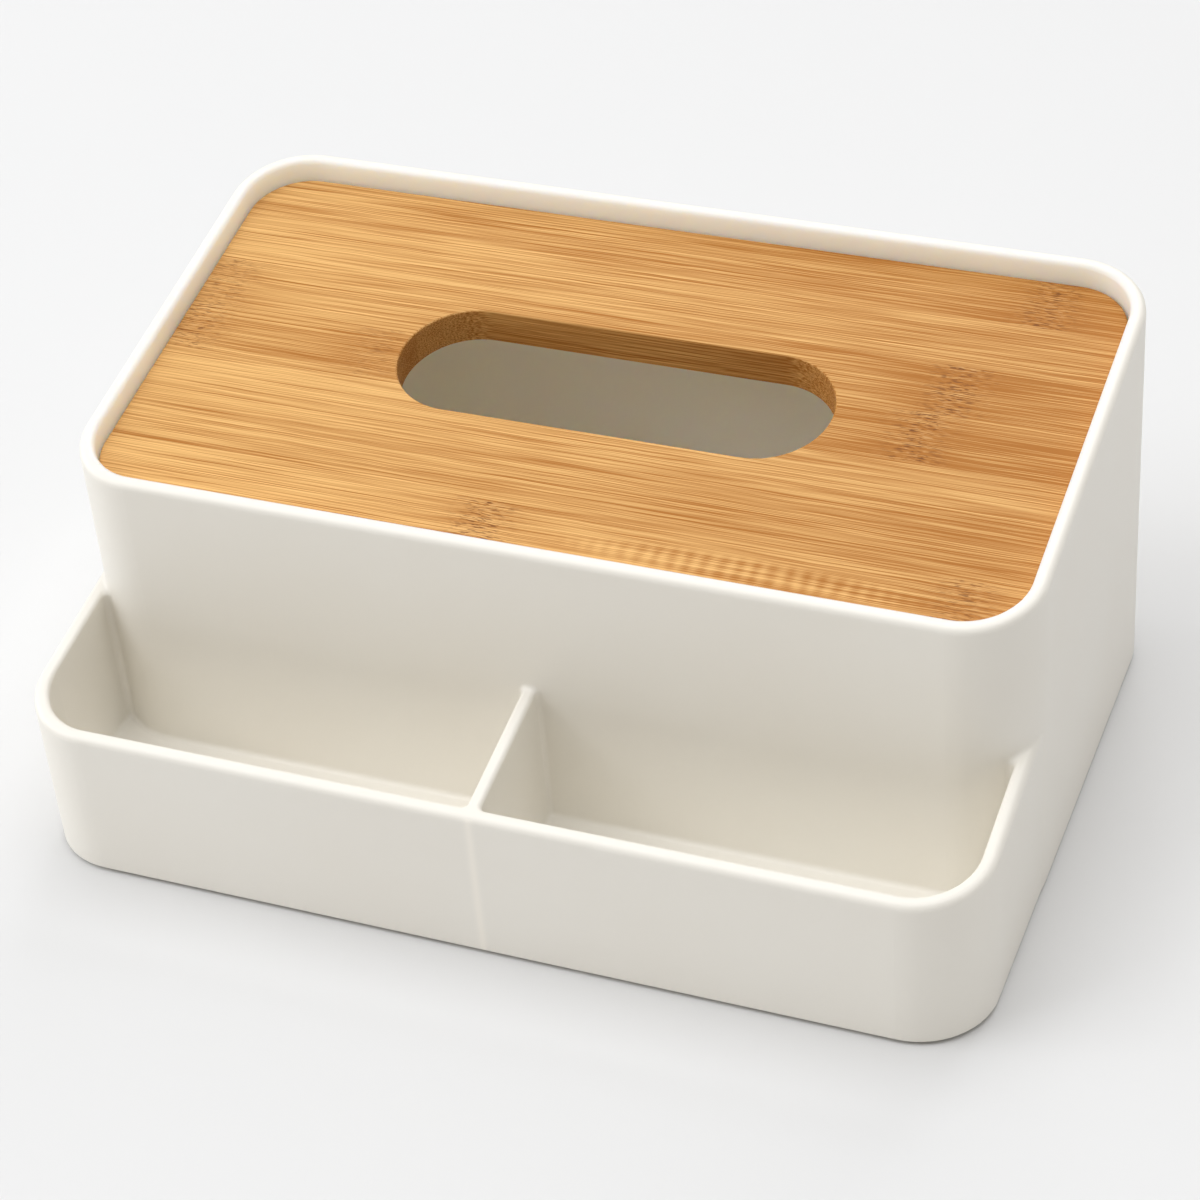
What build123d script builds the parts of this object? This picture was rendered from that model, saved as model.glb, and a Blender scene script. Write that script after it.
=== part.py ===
"""Tissue box organizer: a moulded housing with a two-compartment front tray and a lift-off bamboo lid.

Millimetres, +Z up. The front faces -Y. The origin is on the table, under the middle of the footprint.
"""

import os
from math import cos, radians, sin, sqrt, tan

from build123d import *

os.makedirs("parts", exist_ok=True)

# Overall sizes
width = 255.0
housing_depth = 132.0
tray_depth = 43.0  # from the front of the tray to the front of the housing
housing_height = 94.5  # housing rim above the table, at the housing's front face
tray_height = 45.5  # tray rim above the table, at the tray's front face
rim_slope = 9.0  # degrees: both rims rise towards the back
corner_radius = 20.0

# Walls and edges of the moulding
wall = 4.0
floor_thickness = 3.0
tray_floor_height = 10.0  # upper face of the tray floor above the table
tray_crossing = 9.0  # degrees at which the tray's sides run into the housing's rounded corners
divider_thickness = 3.6
rim_outer_radius = 2.0
rim_inner_radius = 1.3
base_edge_radius = 0.8
floor_edge_radius = 2.0  # round the floor of the tissue space
tray_corner_radius = 1.5  # upright corners and floor edges of the tray

# Lid
lid_thickness = 9.0
lid_recess = 6.0  # lid face below the rim, measured upright
lid_clearance = 0.4
lid_edge_radius = 0.5
stave_count = 7
slot_length = 118.0
slot_width = 37.0
slot_setback = 2.5  # slot centre behind the middle of the housing

# Ribs inside the housing that carry the lid
rest_width = 3.0
rest_reach = 5.0
rest_end_offset = 27.0  # ribs on the long walls, in from the ends of the housing
rest_side_offset = 27.0  # ribs on the end walls, in from the front and back of the housing

# Feet
foot_diameter = 14.0
foot_proud = 1.0
foot_seat_depth = 0.8
foot_clearance = 0.15
foot_edge_radius = 0.4
foot_inset = 24.0  # foot centre in from the ends, the front and the back
foot_seat_wall = 3.0  # plastic left round a foot under the tray

# Places that follow from the sizes
depth = housing_depth + tray_depth
front_y = -depth / 2
back_y = depth / 2
housing_front_y = front_y + tray_depth
housing_y = housing_front_y + housing_depth / 2
slot_y = housing_y + slot_setback
floor_height = foot_proud + floor_thickness
slope = radians(rim_slope)
tray_set_in = corner_radius * (1 - cos(radians(tray_crossing)))  # tray sides in from the housing sides
tray_width = width - 2 * tray_set_in
stock_height = housing_height + housing_depth * tan(slope)  # taller than any rim
foot_x = width / 2 - foot_inset
foot_places = {
    "foot_front_left": (-foot_x, front_y + foot_inset),
    "foot_front_right": (foot_x, front_y + foot_inset),
    "foot_rear_left": (-foot_x, back_y - foot_inset),
    "foot_rear_right": (foot_x, back_y - foot_inset),
}


def sloping_plane(y, z):
    """Plane through a point on the centre line that rises towards the back with the rims."""
    return Plane((0, y, z), x_dir=(1, 0, 0), z_dir=(0, -sin(slope), cos(slope)))


def faces_in(part, plane):
    """Faces of a part that lie in a plane, the largest last."""
    parallel = part.faces().filter_by(plane)
    nearest = parallel.group_by(lambda face: abs(plane.to_local_coords(face.center()).Z))[0]
    return nearest.sort_by(SortBy.AREA)


def upright_at(part, x, y):
    """Upright edge of a part that runs nearest to a point of the tray's inside."""
    uprights = part.edges().filter_by(Axis.Z)
    return uprights.sort_by_distance((x, y, (tray_floor_height + tray_height) / 2))[0]


lid_top_height = housing_height - lid_recess
rest_height = lid_top_height - lid_thickness / cos(slope)
rim_plane = sloping_plane(housing_front_y, housing_height)
tray_rim_plane = sloping_plane(front_y, tray_height)
lid_top_plane = sloping_plane(housing_front_y, lid_top_height)
rest_plane = sloping_plane(housing_front_y, rest_height)

# Tray: a trough with its divider, long enough to run back into the housing
trough_back = housing_front_y + corner_radius + 2 * wall
with BuildPart() as tray:
    with BuildSketch(Plane.XY.offset(foot_proud)):
        RectangleRounded(tray_width, depth, corner_radius)
        with Locations((0, trough_back)):
            Rectangle(width, depth, align=(Align.CENTER, Align.MIN), mode=Mode.SUBTRACT)
    extrude(amount=stock_height)
    split(bisect_by=tray_rim_plane, keep=Keep.BOTTOM)
    outer_rim = faces_in(tray, tray_rim_plane)[-1].outer_wire().edges().sort_by(Axis.Y)[:-1]
    fillet(outer_rim, rim_outer_radius)
    with BuildSketch(Plane.XY.offset(tray_floor_height)) as compartments:
        RectangleRounded(tray_width - 2 * wall, depth - 2 * wall, corner_radius - wall)
        with Locations((0, trough_back - wall)):
            Rectangle(width, depth, align=(Align.CENTER, Align.MIN), mode=Mode.SUBTRACT)
        Rectangle(divider_thickness, depth, mode=Mode.SUBTRACT)
        divider_ends = compartments.vertices().filter_by(
            lambda v: abs(v.X) < divider_thickness and v.Y < housing_front_y)
        fillet(divider_ends, tray_corner_radius)
    extrude(amount=stock_height, mode=Mode.SUBTRACT)
    inner_rims = faces_in(tray, tray_rim_plane)[-1].inner_wires()
    fillet(inner_rims.edges(), rim_inner_radius)

# Housing: the wedge-shaped block that the tissue space is cut from
with BuildPart() as housing:
    with BuildSketch(Plane.XY.offset(foot_proud)):
        with Locations((0, housing_y)):
            RectangleRounded(width, housing_depth, corner_radius)
    extrude(amount=stock_height)
    split(bisect_by=rim_plane, keep=Keep.BOTTOM)
    fillet(faces_in(housing, rim_plane)[-1].outer_wire().edges(), rim_outer_radius)

# Ribs that carry the lid, rooted in the walls and the floor
rest_length = rest_reach + wall / 2
rest_x = width / 2 - rest_end_offset
rest_y = housing_depth / 2 - rest_side_offset
with BuildPart() as rests:
    with BuildSketch(Plane.XY.offset(foot_proud + floor_thickness / 2)):
        with Locations((0, housing_y)):
            with GridLocations(2 * rest_x, housing_depth - wall - rest_length, 2, 2):
                Rectangle(rest_width, rest_length)
            with GridLocations(width - wall - rest_length, 2 * rest_y, 2, 2):
                Rectangle(rest_length, rest_width)
    extrude(amount=stock_height)
    split(bisect_by=rest_plane, keep=Keep.BOTTOM)

# Where the inner face of a tray side reaches the rounded corner of the housing
side_wall_x = tray_width / 2 - wall
corner_reach = side_wall_x - (width / 2 - corner_radius)  # from the centre of that corner
side_wall_end_y = housing_front_y + corner_radius - sqrt(corner_radius**2 - corner_reach**2)

# Body: tray and housing as one moulding
with BuildPart() as body:
    add(tray.part)
    add(housing.part)
    # tissue space, open at the top
    with BuildSketch(Plane.XY.offset(floor_height)):
        with Locations((0, housing_y)):
            RectangleRounded(width - 2 * wall, housing_depth - 2 * wall, corner_radius - wall)
    extrude(amount=stock_height, mode=Mode.SUBTRACT)
    fillet(faces_in(body, rim_plane)[-1].inner_wires().edges(), rim_inner_radius)
    fillet(faces_in(body, Plane.XY.offset(floor_height))[-1].outer_wire().edges(), floor_edge_radius)
    # upright corners where the tray's sides and the divider run into the housing
    corners = []
    for side in (-1, 1):
        corners.append(upright_at(body, side * divider_thickness / 2, housing_front_y))
        corners.append(upright_at(body, side * side_wall_x, side_wall_end_y))
    fillet(corners, tray_corner_radius)
    fillet(faces_in(body, Plane.XY.offset(tray_floor_height)).edges(), tray_corner_radius)
    # hollow under the tray floor, with a rib below the divider and a post for each front foot
    with BuildSketch(Plane.XY.offset(foot_proud)):
        RectangleRounded(tray_width - 2 * wall, depth - 2 * wall, corner_radius - wall)
        with Locations((0, housing_front_y)):
            Rectangle(width, depth, align=(Align.CENTER, Align.MIN), mode=Mode.SUBTRACT)
        Rectangle(divider_thickness, depth, mode=Mode.SUBTRACT)
        with Locations(foot_places["foot_front_left"], foot_places["foot_front_right"]):
            Circle(foot_diameter / 2 + foot_clearance + foot_seat_wall, mode=Mode.SUBTRACT)
    extrude(amount=tray_floor_height - floor_height, mode=Mode.SUBTRACT)
    fillet(faces_in(body, Plane.XY.offset(foot_proud))[-1].outer_wire().edges(), base_edge_radius)
    # seats for the feet
    with BuildSketch(Plane.XY.offset(foot_proud)):
        with Locations(*foot_places.values()):
            Circle(foot_diameter / 2 + foot_clearance)
    extrude(amount=foot_seat_depth, mode=Mode.SUBTRACT)
    add(rests.part)
body.part.label = "body"
export_step(body.part, "parts/body.step")

# Lid board: cut upright all round so that it drops straight into the housing
lid_margin = 2 * (wall + lid_clearance)
lid_depth = housing_depth - lid_margin
with BuildPart() as lid_board:
    with BuildSketch(Plane.XY):
        with Locations((0, housing_y)):
            RectangleRounded(width - lid_margin, lid_depth, corner_radius - lid_margin / 2)
        with Locations((0, slot_y)):
            SlotOverall(slot_length, slot_width, mode=Mode.SUBTRACT)
    extrude(amount=stock_height)
    split(bisect_by=lid_top_plane, keep=Keep.BOTTOM)
    split(bisect_by=rest_plane, keep=Keep.TOP)
    fillet(faces_in(lid_board, lid_top_plane)[-1].edges(), lid_edge_radius)

# Lid staves: the glued strips of the board, from front to back
stave_width = lid_depth / stave_count
stave_front = housing_y - lid_depth / 2
for index in range(stave_count):
    with BuildPart() as stave:
        add(lid_board.part)
        with Locations((0, stave_front + index * stave_width)):
            from_front = (Align.CENTER, Align.MIN, Align.MIN)
            Box(width, stave_width, stock_height, align=from_front, mode=Mode.INTERSECT)
    pieces = stave.solids().sort_by(Axis.X)
    endings = [""] if len(pieces) == 1 else ["_left", "_right"]
    for piece, ending in zip(pieces, endings):
        piece.label = f"lid_stave_{index + 1}{ending}"
        export_step(piece, f"parts/{piece.label}.step")

# Feet: soft discs pressed into their seats
for name, place in foot_places.items():
    with BuildPart() as foot:
        with BuildSketch(Plane.XY):
            with Locations(place):
                Circle(foot_diameter / 2)
        extrude(amount=foot_proud + foot_seat_depth)
        fillet(foot.edges().group_by(Axis.Z)[0], foot_edge_radius)
    foot.part.label = name
    export_step(foot.part, f"parts/{name}.step")
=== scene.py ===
from math import cos, radians, sin

import bpy
import numpy as np
from mathutils import Matrix, Vector


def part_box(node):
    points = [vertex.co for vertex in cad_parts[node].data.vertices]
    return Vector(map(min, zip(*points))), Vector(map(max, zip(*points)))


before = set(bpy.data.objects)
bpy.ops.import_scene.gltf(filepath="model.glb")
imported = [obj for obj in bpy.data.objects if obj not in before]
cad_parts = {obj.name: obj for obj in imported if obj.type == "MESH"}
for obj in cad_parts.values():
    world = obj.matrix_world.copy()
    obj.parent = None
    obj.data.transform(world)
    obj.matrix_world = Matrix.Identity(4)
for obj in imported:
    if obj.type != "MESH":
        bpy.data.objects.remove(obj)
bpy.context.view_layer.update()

perMetre = 1000.0  # patterns are laid out in millimetres, the model is in metres
tallerThanAll = 1e6  # mm, where a pattern doesn't depend on the height
bellBase = 0.37  # to the power of a squared distance it gives a bell, this high at a distance of 1
middleTone = 0.5  # average of a noise


# sRGB hex to the linear colour that a shader takes
def linear(hexCode):
    srgb = np.array([int(hexCode[i:i + 2], 16) / 255 for i in (1, 3, 5)])
    rgb = np.where(srgb <= 0.04045, srgb / 12.92, ((srgb + 0.055) / 1.055) ** 2.4)
    return (*rgb.tolist(), 1.0)


# one node with its settings; each input takes a value or another node's output
def addNode(tree, kind, settings={}, inputs={}):
    node = tree.nodes.new("ShaderNode" + kind)
    for name, value in settings.items():
        setattr(node, name, value)
    for name, value in inputs.items():
        if isinstance(value, bpy.types.NodeSocket):
            tree.links.new(value, node.inputs[name])
        else:
            node.inputs[name].default_value = value
    return node


def startMaterial(name):
    material = bpy.data.materials.new(name)
    material.use_nodes = True
    tree = material.node_tree
    return material, tree, tree.nodes["Principled BSDF"]


def paint(node, material):
    node.data.materials.clear()
    node.data.materials.append(material)


# Moulded polypropylene, warm white, satin from a lightly blasted mould.
# It gives soft wide highlights, warm corners, and a glow inside where light comes through the wall.
shell = {
    "colour": "#f3eee4",
    "paler": "#f7f4ec",
    # painted highlight along the sink line over the rib
    "sinkHighlightColour": "#fdf8ee",
    "blotch": 55.0,       # mm, slow drift of tone across a wall
    "grit": 0.5,          # mm, mould grain; a real one is finer, drawn coarse enough to show
    "gritDepth": 0.004,   # mm
    "roughness": (0.34, 0.44),
    "ior": 1.49,
    "lidCorner": 15.6,    # mm, rounding of the lid's corners
    "halfWall": 2.4,      # mm, from the lid's edge to the middle of the wall
    "floorTop": 4.5,      # mm, just above the floor of the tissue space, which stays opaque
    "glowReach": (9.4, 7.6, 5.8),  # mm that red, green and blue light run inside the plastic
    "sinkHighlightWidth": 1.1,     # mm, painted highlight along the sink line over the rib behind the tray front
    "frontSkin": 0.5,     # mm, depth behind the front face that the line may reach
}


def mouldedShell(size, bodyBox, lidBox):
    material, tree, shader = startMaterial("moulded polypropylene, satin warm white")
    place = addNode(tree, "TexCoord").outputs["Object"]
    inMm = addNode(tree, "VectorMath", {"operation": "SCALE"}, {
        0: place, "Scale": perMetre}).outputs[0]
    drift = addNode(tree, "TexNoise", {}, {
        "Vector": inMm, "Scale": 1 / size["blotch"], "Detail": 2.0})
    grit = addNode(tree, "TexNoise", {}, {
        "Vector": inMm, "Scale": 1 / size["grit"], "Detail": 2.0})
    # a painted highlight along the sink line, on the middle of the tray's front face only
    axes = addNode(tree, "SeparateXYZ", {}, {"Vector": inMm}).outputs
    across = addNode(tree, "Math", {"operation": "DIVIDE"}, {0: axes["X"], 1: size["sinkHighlightWidth"]})
    squared = addNode(tree, "Math", {"operation": "MULTIPLY"}, {
        0: across.outputs[0], 1: across.outputs[0]})
    bell = addNode(tree, "Math", {"operation": "POWER"}, {0: bellBase, 1: squared.outputs[0]})
    frontFace = bodyBox[0].y * perMetre + size["frontSkin"]
    onFront = addNode(tree, "Math", {"operation": "LESS_THAN"}, {0: axes["Y"], 1: frontFace})
    sinkHighlight = addNode(tree, "Math", {"operation": "MULTIPLY"}, {
        0: bell.outputs[0], 1: onFront.outputs[0]})
    # Light comes through the walls round the tissue space, from their middle inwards. That is where the
    # distance to the lid's outline, a box with round corners, is under half a wall.
    middle = (lidBox[0] + lidBox[1]) / 2 * perMetre
    reach = (lidBox[1] - lidBox[0]) / 2 * perMetre
    straight = (reach.x - size["lidCorner"], reach.y - size["lidCorner"], tallerThanAll)
    aside = addNode(tree, "VectorMath", {"operation": "SUBTRACT"}, {0: inMm, 1: middle})
    folded = addNode(tree, "VectorMath", {"operation": "ABSOLUTE"}, {0: aside.outputs[0]})
    past = addNode(tree, "VectorMath", {"operation": "SUBTRACT"}, {0: folded.outputs[0], 1: straight})
    corner = addNode(tree, "VectorMath", {"operation": "MAXIMUM"}, {
        0: past.outputs[0], 1: (0.0, 0.0, 0.0)})
    away = addNode(tree, "VectorMath", {"operation": "LENGTH"}, {0: corner.outputs[0]})
    inside = addNode(tree, "Math", {"operation": "LESS_THAN"}, {
        0: away.outputs["Value"], 1: size["lidCorner"] + size["halfWall"]})
    aboveFloor = addNode(tree, "Math", {"operation": "GREATER_THAN"}, {
        0: axes["Z"], 1: size["floorTop"]})
    glow = addNode(tree, "Math", {"operation": "MULTIPLY"}, {
        0: inside.outputs[0], 1: aboveFloor.outputs[0]})
    tone = addNode(tree, "MixRGB", {}, {
        "Fac": drift.outputs["Fac"], "Color1": linear(size["colour"]), "Color2": linear(size["paler"])})
    # paler along the sink line: a painted highlight
    colour = addNode(tree, "MixRGB", {}, {
        "Fac": sinkHighlight.outputs[0], "Color1": tone.outputs[0], "Color2": linear(size["sinkHighlightColour"])})
    rough = addNode(tree, "MapRange", {}, {
        "Value": grit.outputs["Fac"], "To Min": size["roughness"][0], "To Max": size["roughness"][1]})
    bump = addNode(tree, "Bump", {}, {
        "Height": grit.outputs["Fac"], "Strength": 1.0, "Distance": size["gritDepth"] / perMetre})
    tree.links.new(colour.outputs[0], shader.inputs["Base Color"])
    tree.links.new(rough.outputs[0], shader.inputs["Roughness"])
    tree.links.new(bump.outputs[0], shader.inputs["Normal"])
    tree.links.new(glow.outputs[0], shader.inputs["Subsurface Weight"])
    shader.inputs["IOR"].default_value = size["ior"]
    shader.inputs["Subsurface Radius"].default_value = size["glowReach"]
    shader.inputs["Subsurface Scale"].default_value = 1 / perMetre
    return material


# lowest and highest corner of several nodes together
def boxAround(names):
    corners = np.array([[list(corner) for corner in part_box(name)] for name in names])
    return Vector(corners[:, 0].min(axis=0)), Vector(corners[:, 1].max(axis=0))


lidBox = boxAround([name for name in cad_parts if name.startswith("lid_stave")])
paint(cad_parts["body"], mouldedShell(shell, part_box("body"), lidBox))
print("shell: done")

# Carbonised bamboo strips, edge glued, sanded and oiled.
# Straight fibres in fine lines, a tone of its own in each strip, and knots where the cane had joints.
bamboo = {
    "light": "#edbd77",
    "dark": "#ac6d27",
    "pit": "#774417",
    "fleck": "#f3cd93",
    "cutTintAndShade": "#fff6e6",      # sawn edges are a little warmer than the sanded face as cut wood, and a little darker as painted shade
    "sawnAndShadedFrom": (0.7, 0.2),    # upward lean of a face at which the cut's tint and painted shade begin and are full
    "drift": 0.20,             # painted shade: the wood darkens this much from its middle to the right
    # length and width of the lines in mm, and the share of the tone that a layer carries
    "lines": {
        "fibre": {"long": 40.0, "wide": 0.32, "share": 1.0, "detail": 1.0},
        "band": {"long": 400.0, "wide": 5.0, "share": 0.17, "detail": 1.0},
    },
    "roughLines": 0.65,        # how much the finer parts of a layer of lines show
    # thin dark lines, in mm; they show where their noise is in this range, and lie aside of the fibres
    "vein": {"long": 70.0, "wide": 0.36, "share": 0.40, "range": (0.55, 0.64),
             "aside": (0.0, 7.3, 3.1)},
    "wave": (14.0, 5.0),       # mm, length and width of the slow wander of the fibres
    "wander": 0.5,             # mm, how far fibres wander in clear wood
    "knotWander": 1.2,         # mm, and how much more beside a knot
    "knotLong": 7.0,           # mm, from the middle of a knot to where its marks fade
    "haloLong": 16.0,          # mm, and to where its darker halo fades
    "haloDark": 0.16,          # how much the halo darkens the wood
    "dash": (2.8, 0.40),       # mm, length and width of the short marks in a knot
    "dashRange": (0.54, 0.63),   # noise at which a mark begins and is full
    "fleckRange": (0.44, 0.30),  # and at which a pale fleck does
    "fleckShare": 0.32,
    "grainDepth": 0.035,       # mm, of the fibres
    "dashRelief": 0.2,         # depth of the marks, as a share of that
    "roughness": (0.46, 0.60),
    "gloss": 0.3,              # oil soaks in, so the face shines less than bare cane
    "ior": 1.46,
}
# tone: above 0 is darker; shift: mm along the cane, so that no two strips match;
# knots: x in mm and strength; ripple: curly figure across the fibres, in mm, with the bend of its waves
staves = {
    "lid_stave_1": {"tone": -0.08, "shift": 0.0, "knots": [(-15.0, 1.0), (108.0, 0.7)],
                    "ripple": {"middle": (54.0, -31.5), "half": (52.0, 5.0), "pitch": 4.2, "share": 0.15,
                               "bend": 2.0, "bendScale": 1.4, "fade": 0.5}},
    "lid_stave_2": {"tone": 0.05, "shift": 431.0, "knots": []},
    "lid_stave_3": {"tone": -0.04, "shift": 877.0, "knots": []},
    "lid_stave_4_left": {"tone": 0.16, "shift": 1310.0, "knots": [(-118.0, 0.8), (-66.0, 0.4)]},
    "lid_stave_4_right": {"tone": 0.09, "shift": 1310.0, "knots": [(82.0, 1.0)]},
    "lid_stave_5": {"tone": 0.07, "shift": 1733.0, "knots": [(-117.0, 0.6), (87.0, 1.0)]},
    "lid_stave_6": {"tone": -0.03, "shift": 2190.0, "knots": []},
    "lid_stave_7": {"tone": 0.10, "shift": 2609.0, "knots": [(102.0, 0.9)]},
}
onePitch = 0.314  # scale at which a wave texture has a pitch of 1


def bambooStrip(name, wood, strip, lidBox):
    material, tree, shader = startMaterial("oiled bamboo, " + name)
    place = addNode(tree, "TexCoord").outputs["Object"]
    inMm = addNode(tree, "VectorMath", {"operation": "SCALE"}, {
        0: place, "Scale": perMetre}).outputs[0]
    axes = addNode(tree, "SeparateXYZ", {}, {"Vector": inMm}).outputs
    # each knot is a bell along the strip, and the strip takes the sum of them
    knots = 0.0
    for middle, strength in strip["knots"]:
        away = addNode(tree, "Math", {"operation": "SUBTRACT"}, {0: axes["X"], 1: middle})
        share = addNode(tree, "Math", {"operation": "DIVIDE"}, {
            0: away.outputs[0], 1: wood["knotLong"]})
        squared = addNode(tree, "Math", {"operation": "MULTIPLY"}, {
            0: share.outputs[0], 1: share.outputs[0]})
        bell = addNode(tree, "Math", {"operation": "POWER"}, {0: bellBase, 1: squared.outputs[0]})
        knots = addNode(tree, "Math", {"operation": "MULTIPLY_ADD"}, {
            0: bell.outputs[0], 1: strength, 2: knots}).outputs[0]
    # fibres wander a little, and more beside a knot
    waveLong, waveWide = wood["wave"]
    wavePlace = addNode(tree, "Mapping", {}, {
        "Vector": inMm, "Location": (strip["shift"], 0.0, 0.0),
        "Scale": (1 / waveLong, 1 / waveWide, 1 / waveWide)})
    wave = addNode(tree, "TexNoise", {}, {
        "Vector": wavePlace.outputs[0], "Scale": 1.0, "Detail": 1.0})
    centred = addNode(tree, "Math", {"operation": "SUBTRACT"}, {0: wave.outputs["Fac"], 1: middleTone})
    reach = addNode(tree, "Math", {"operation": "MULTIPLY_ADD"}, {
        0: knots, 1: wood["knotWander"], 2: wood["wander"]})
    sideways = addNode(tree, "Math", {"operation": "MULTIPLY"}, {
        0: centred.outputs[0], 1: reach.outputs[0]})
    shiftedX = addNode(tree, "Math", {"operation": "ADD"}, {0: axes["X"], 1: strip["shift"]})
    wanderedY = addNode(tree, "Math", {"operation": "ADD"}, {0: axes["Y"], 1: sideways.outputs[0]})
    along = addNode(tree, "CombineXYZ", {}, {
        "X": shiftedX.outputs[0], "Y": wanderedY.outputs[0], "Z": axes["Z"]}).outputs[0]
    # the tone is the strip's own, with painted shade darkening it to the right, and its layers of lines
    tone = addNode(tree, "Math", {"operation": "MULTIPLY_ADD"}, {
        0: axes["X"], 1: wood["drift"] / (lidBox[1].x * perMetre),
        2: middleTone + strip["tone"]}).outputs[0]
    for line in wood["lines"].values():
        linePlace = addNode(tree, "Mapping", {}, {
            "Vector": along, "Scale": (1 / line["long"], 1 / line["wide"], 1 / line["wide"])})
        grain = addNode(tree, "TexNoise", {}, {
            "Vector": linePlace.outputs[0], "Scale": 1.0, "Detail": line["detail"],
            "Roughness": wood["roughLines"]})
        level = addNode(tree, "Math", {"operation": "SUBTRACT"}, {
            0: grain.outputs["Fac"], 1: middleTone})
        tone = addNode(tree, "Math", {"operation": "MULTIPLY_ADD"}, {
            0: level.outputs[0], 1: 2 * line["share"], 2: tone}).outputs[0]
    # thin dark veins, where a noise of long cells is at its highest
    vein = wood["vein"]
    veinPlace = addNode(tree, "Mapping", {}, {
        "Vector": along, "Location": vein["aside"],
        "Scale": (1 / vein["long"], 1 / vein["wide"], 1 / vein["wide"])})
    veinNoise = addNode(tree, "TexNoise", {}, {
        "Vector": veinPlace.outputs[0], "Scale": 1.0, "Detail": 1.0})
    veins = addNode(tree, "MapRange", {}, {
        "Value": veinNoise.outputs["Fac"], "From Min": vein["range"][0], "From Max": vein["range"][1],
        "To Max": vein["share"]})
    tone = addNode(tree, "Math", {"operation": "ADD"}, {0: veins.outputs[0], 1: tone}).outputs[0]
    # curly figure: waves across the fibres that fade out from the middle of a patch
    if "ripple" in strip:
        ripple = strip["ripple"]
        aside = addNode(tree, "Mapping", {"vector_type": "TEXTURE"}, {
            "Vector": inMm, "Location": (*ripple["middle"], 0.0),
            "Scale": (*ripple["half"], tallerThanAll)})
        fade = addNode(tree, "TexGradient", {"gradient_type": "SPHERICAL"}, {"Vector": aside.outputs[0]})
        patch = addNode(tree, "MapRange", {}, {"Value": fade.outputs["Fac"], "From Max": ripple["fade"]})
        curls = addNode(tree, "TexWave", {}, {
            "Vector": inMm, "Scale": onePitch / ripple["pitch"], "Distortion": ripple["bend"],
            "Detail": 1.0, "Detail Scale": ripple["bendScale"]})
        level = addNode(tree, "Math", {"operation": "SUBTRACT"}, {
            0: curls.outputs["Fac"], 1: middleTone})
        swing = addNode(tree, "Math", {"operation": "MULTIPLY"}, {
            0: level.outputs[0], 1: patch.outputs[0]})
        tone = addNode(tree, "Math", {"operation": "MULTIPLY_ADD"}, {
            0: swing.outputs[0], 1: 2 * ripple["share"], 2: tone}).outputs[0]
    # short dark marks in the knots, with pale flecks between them
    dashLong, dashWide = wood["dash"]
    dashPlace = addNode(tree, "Mapping", {}, {
        "Vector": along, "Scale": (1 / dashLong, 1 / dashWide, 1 / dashWide)})
    dash = addNode(tree, "TexNoise", {}, {
        "Vector": dashPlace.outputs[0], "Scale": 1.0, "Detail": 2.0})
    markFrom, markFull = wood["dashRange"]
    marks = addNode(tree, "MapRange", {}, {
        "Value": dash.outputs["Fac"], "From Min": markFrom, "From Max": markFull})
    pits = addNode(tree, "Math", {"operation": "MULTIPLY", "use_clamp": True}, {
        0: marks.outputs[0], 1: knots})
    fleckFrom, fleckFull = wood["fleckRange"]
    pale = addNode(tree, "MapRange", {}, {
        "Value": dash.outputs["Fac"], "From Min": fleckFrom, "From Max": fleckFull,
        "To Max": wood["fleckShare"]})
    flecks = addNode(tree, "Math", {"operation": "MULTIPLY"}, {0: pale.outputs[0], 1: knots})
    # the halo is the same bell, drawn out
    halo = addNode(tree, "Math", {"operation": "POWER"}, {
        0: knots, 1: (wood["knotLong"] / wood["haloLong"]) ** 2})
    deeper = addNode(tree, "Math", {"operation": "MULTIPLY_ADD", "use_clamp": True}, {
        0: halo.outputs[0], 1: wood["haloDark"], 2: tone})
    face = addNode(tree, "MixRGB", {}, {
        "Fac": deeper.outputs[0], "Color1": linear(wood["light"]), "Color2": linear(wood["dark"])})
    flecked = addNode(tree, "MixRGB", {}, {
        "Fac": flecks.outputs[0], "Color1": face.outputs[0], "Color2": linear(wood["fleck"])})
    marked = addNode(tree, "MixRGB", {}, {
        "Fac": pits.outputs[0], "Color1": flecked.outputs[0], "Color2": linear(wood["pit"])})
    # sawn edges stand upright; they are a little warmer than the sanded top as cut wood, and a little
    # darker as painted shade, chosen by how upright a face is
    normal = addNode(tree, "NewGeometry").outputs["Normal"]
    facing = addNode(tree, "SeparateXYZ", {}, {"Vector": normal})
    cutShadeFrom, cutShadeFull = wood["sawnAndShadedFrom"]
    sawnAndShaded = addNode(tree, "MapRange", {}, {
        "Value": facing.outputs["Z"], "From Min": cutShadeFrom, "From Max": cutShadeFull})
    shade = addNode(tree, "MixRGB", {"blend_type": "MULTIPLY"}, {
        "Fac": sawnAndShaded.outputs[0], "Color1": marked.outputs[0], "Color2": linear(wood["cutTintAndShade"])})
    rough = addNode(tree, "MapRange", {}, {
        "Value": deeper.outputs[0], "To Min": wood["roughness"][0], "To Max": wood["roughness"][1]})
    relief = addNode(tree, "Math", {"operation": "MULTIPLY_ADD"}, {
        0: pits.outputs[0], 1: wood["dashRelief"], 2: tone})
    bump = addNode(tree, "Bump", {"invert": True}, {
        "Height": relief.outputs[0], "Strength": 1.0, "Distance": wood["grainDepth"] / perMetre})
    tree.links.new(shade.outputs[0], shader.inputs["Base Color"])
    tree.links.new(rough.outputs[0], shader.inputs["Roughness"])
    tree.links.new(bump.outputs[0], shader.inputs["Normal"])
    shader.inputs["IOR"].default_value = wood["ior"]
    shader.inputs["Specular IOR Level"].default_value = wood["gloss"]
    return material


for name, strip in staves.items():
    paint(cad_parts[name], bambooStrip(name, bamboo, strip, lidBox))
print("lid:", len(staves), "bamboo strips")

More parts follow.
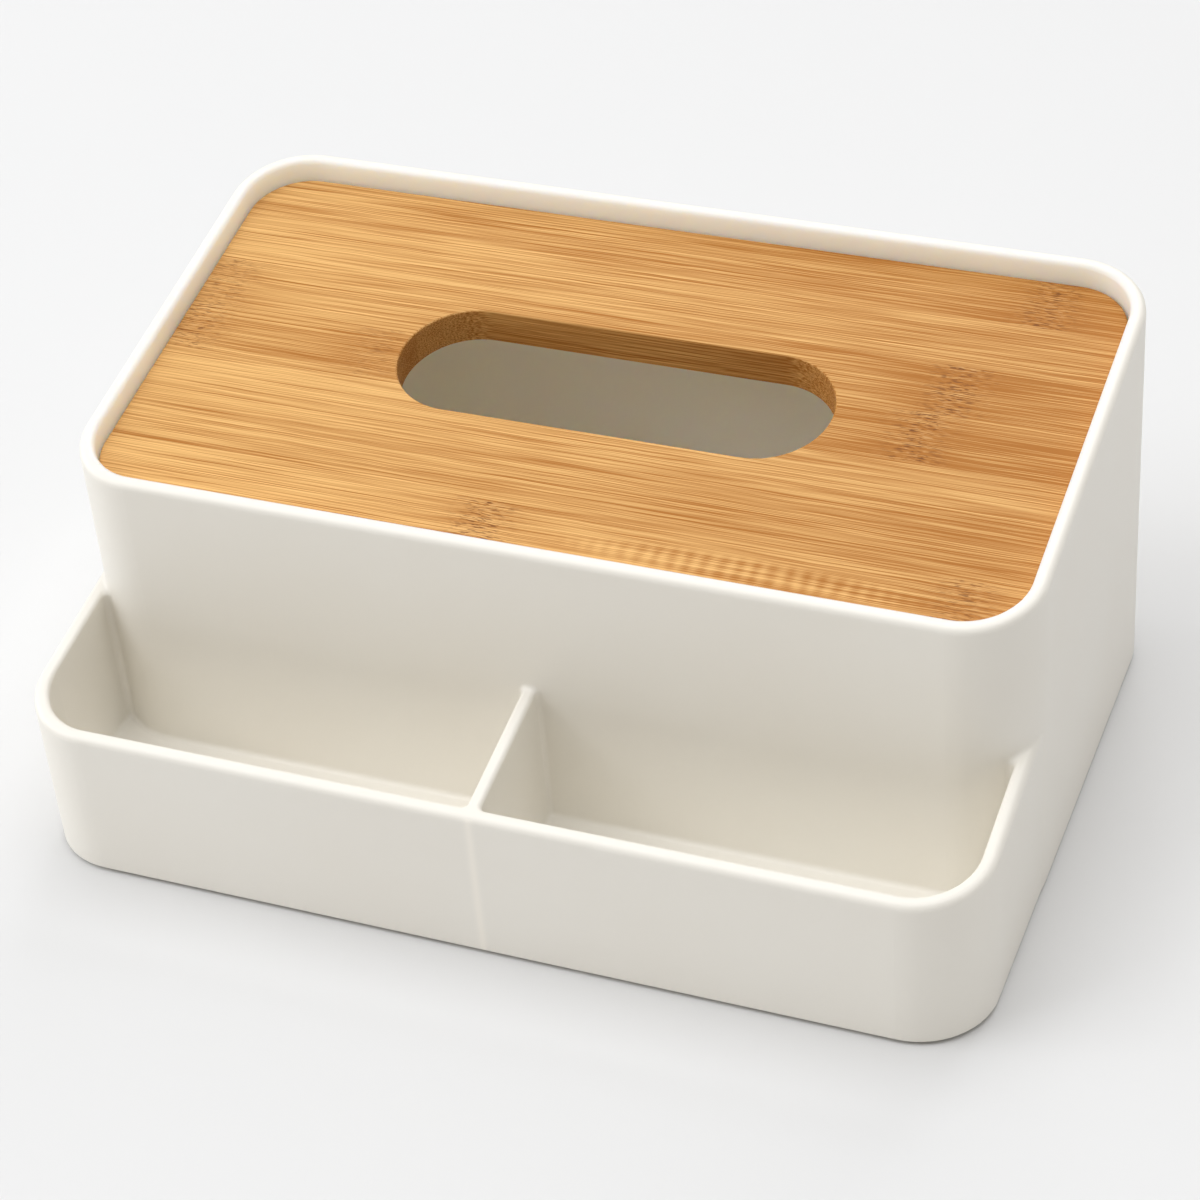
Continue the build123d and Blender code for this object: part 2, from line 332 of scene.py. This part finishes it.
# Silicone rubber, cast in discs: dull, grey and a little cloudy.
rubber = {
    "colour": "#b9b7b2",
    "paler": "#cfcdc8",
    "cloud": 3.0,              # mm
    "roughness": 0.72,
    "ior": 1.41,
}
footNames = [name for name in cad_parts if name.startswith("foot")]


def siliconeFoot(size):
    material, tree, shader = startMaterial("silicone rubber, cast grey")
    place = addNode(tree, "TexCoord").outputs["Object"]
    cloud = addNode(tree, "TexNoise", {}, {
        "Vector": place, "Scale": perMetre / size["cloud"], "Detail": 3.0})
    colour = addNode(tree, "MixRGB", {}, {
        "Fac": cloud.outputs["Fac"], "Color1": linear(size["colour"]), "Color2": linear(size["paler"])})
    tree.links.new(colour.outputs[0], shader.inputs["Base Color"])
    shader.inputs["Roughness"].default_value = size["roughness"]
    shader.inputs["IOR"].default_value = size["ior"]
    return material


footRubber = siliconeFoot(rubber)
for name in footNames:
    paint(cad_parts[name], footRubber)
print("feet:", len(footNames))

# Floor: a wide matt board, off white and dull; lengths in metres
floorBoard = {"side": 8.0, "colour": "#dfdfdf", "paler": "#e1e1e1", "cloud": 0.4, "roughness": 0.9}


def layFloor(size):
    corners = np.array([[-1, -1, 0], [1, -1, 0], [1, 1, 0], [-1, 1, 0]]) * size["side"] / 2
    mesh = bpy.data.meshes.new("floor")
    mesh.from_pydata(corners.tolist(), [], [(0, 1, 2, 3)])
    floor = bpy.data.objects.new("floor", mesh)
    bpy.context.scene.collection.objects.link(floor)
    material, tree, shader = startMaterial("matt board, off white")
    place = addNode(tree, "TexCoord").outputs["Object"]
    cloud = addNode(tree, "TexNoise", {}, {"Vector": place, "Scale": 1 / size["cloud"]})
    colour = addNode(tree, "MixRGB", {}, {
        "Fac": cloud.outputs["Fac"], "Color1": linear(size["colour"]), "Color2": linear(size["paler"])})
    tree.links.new(colour.outputs[0], shader.inputs["Base Color"])
    shader.inputs["Roughness"].default_value = size["roughness"]
    mesh.materials.append(material)


layFloor(floorBoard)
print("floor: laid")

# Light: a pale warm room and five softboxes; places and sizes in metres, power in watts
room = {"colour": "#fff9f0", "strength": 0.30}
softboxes = {
    "over": {"place": (0.0, 0.0, 3.2), "size": 3.0, "power": 67.0},
    "key": {"place": (-2.15, -1.4, 2.4), "size": 1.8, "power": 31.0},
    "low": {"place": (-3.2, -0.3, 0.9), "size": 2.0, "power": 32.0},
    "back": {"place": (0.0, 2.6, 2.4), "size": 2.0, "power": 31.0},
    "right": {"place": (2.6, 0.0, 2.4), "size": 2.0, "power": 8.0},
}
softboxColour = "#fafcff"


def hangLights(room, softboxes, colour):
    world = bpy.data.worlds.new("pale room")
    world.use_nodes = True
    background = world.node_tree.nodes["Background"].inputs
    background["Color"].default_value = linear(room["colour"])
    background["Strength"].default_value = room["strength"]
    bpy.context.scene.world = world
    for name, box in softboxes.items():
        light = bpy.data.lights.new(name, "AREA")
        light.color = linear(colour)[:3]
        light.size = box["size"]
        light.energy = box["power"]
        lamp = bpy.data.objects.new(name, light)
        turn = Vector(box["place"]).to_track_quat("Z", "Y").to_matrix().to_4x4()
        lamp.matrix_world = Matrix.Translation(box["place"]) @ turn
        bpy.context.scene.collection.objects.link(lamp)


hangLights(room, softboxes, softboxColour)
print("light:", len(softboxes), "softboxes")

# Camera: place in metres, angles in degrees, lens in mm on a 36 mm square frame
view = {
    "place": (0.27520, -0.61519, 0.57554),
    "azimuth": 23.98, "elevation": 38.15, "roll": -5.25,
    "lens": 98.50, "frameWidth": 36.0,
}


def setCamera(view):
    azimuth, elevation, roll = (radians(view[name]) for name in ("azimuth", "elevation", "roll"))
    back = Vector((sin(azimuth) * cos(elevation), -cos(azimuth) * cos(elevation), sin(elevation)))
    level = Vector((0, 0, 1)).cross(back).normalized()
    upright = back.cross(level)
    right = cos(roll) * level + sin(roll) * upright
    up = cos(roll) * upright - sin(roll) * level
    camera = bpy.data.cameras.new("camera")
    camera.sensor_width = view["frameWidth"]
    camera.lens = view["lens"]
    eye = bpy.data.objects.new("camera", camera)
    turn = Matrix((right, up, back)).transposed().to_4x4()
    eye.matrix_world = Matrix.Translation(view["place"]) @ turn
    bpy.context.scene.collection.objects.link(eye)
    bpy.context.scene.camera = eye


setCamera(view)
bpy.context.scene.view_settings.view_transform = "Standard"  # whites stay as bright as they are lit
print("camera: set")
